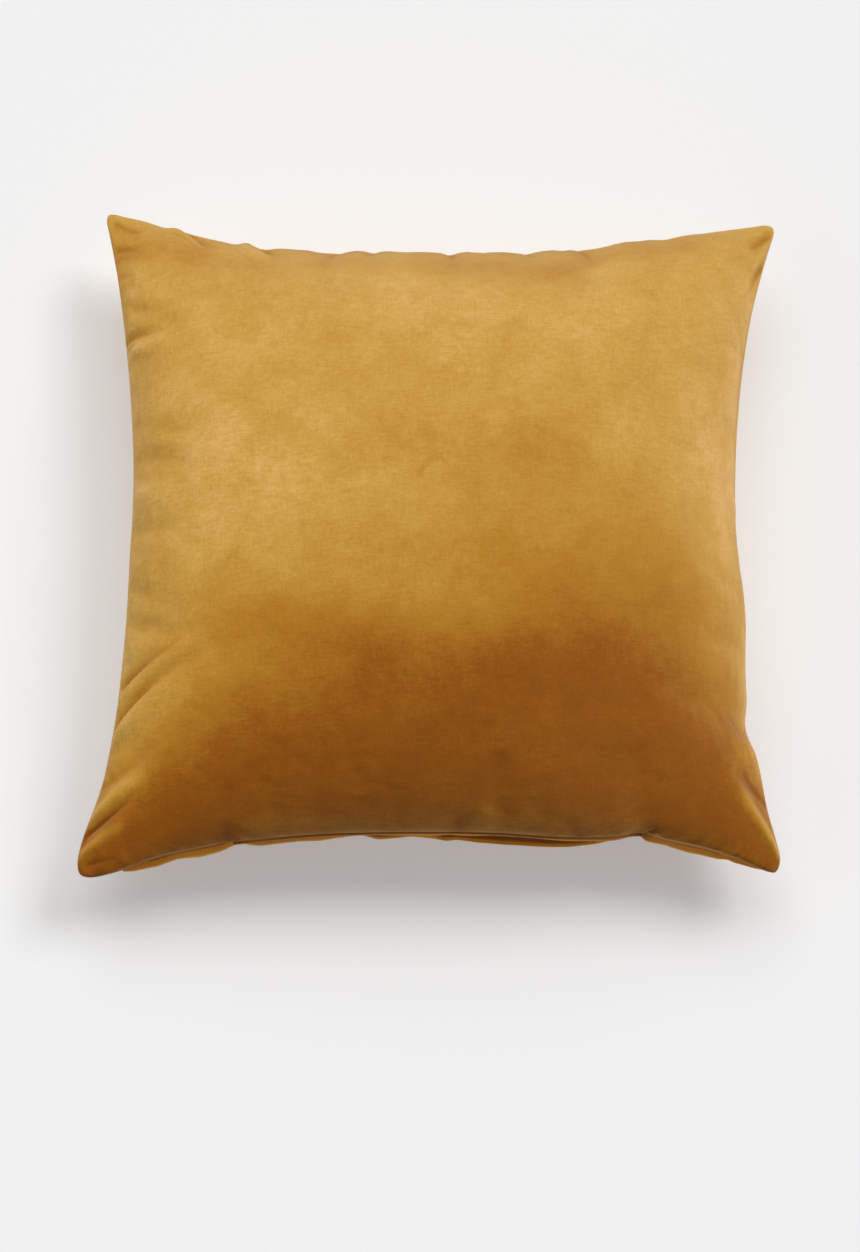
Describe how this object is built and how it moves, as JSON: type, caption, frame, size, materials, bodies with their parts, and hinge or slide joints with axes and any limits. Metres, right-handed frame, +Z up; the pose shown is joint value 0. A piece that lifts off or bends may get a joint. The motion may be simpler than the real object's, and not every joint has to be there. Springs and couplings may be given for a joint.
{
  "type": "velvet cushion cover, filled",
  "caption": "Square filled velvet cushion cover with a plain knife edge, drawn-in sides, uneven tips, corner pleats and a concealed zip with folded laps along its lower edge, lying on its back.",
  "frame": {"origin": "on the surface that the cushion lies on, below the centre of its bounding box", "axes": "+Z up, out of the front panel; +Y along the cushion from the zip edge towards the opposite edge; +X to the right of somebody who looks at the front panel with the zip edge nearest"},
  "size_m": [0.4988, 0.4949, 0.166],
  "materials": {
    "velvet": "cut-pile mustard velvet with a soft sheen that changes with the lie of the pile",
    "lap_velvet": "the same velvet folded to a lap, darker in the folds"
  },
  "bodies": {
    "root": {"cushion_cover": "velvet", "zip_lap_upper": "lap_velvet", "zip_lap_lower": "lap_velvet"}
  },
  "joints": []
}
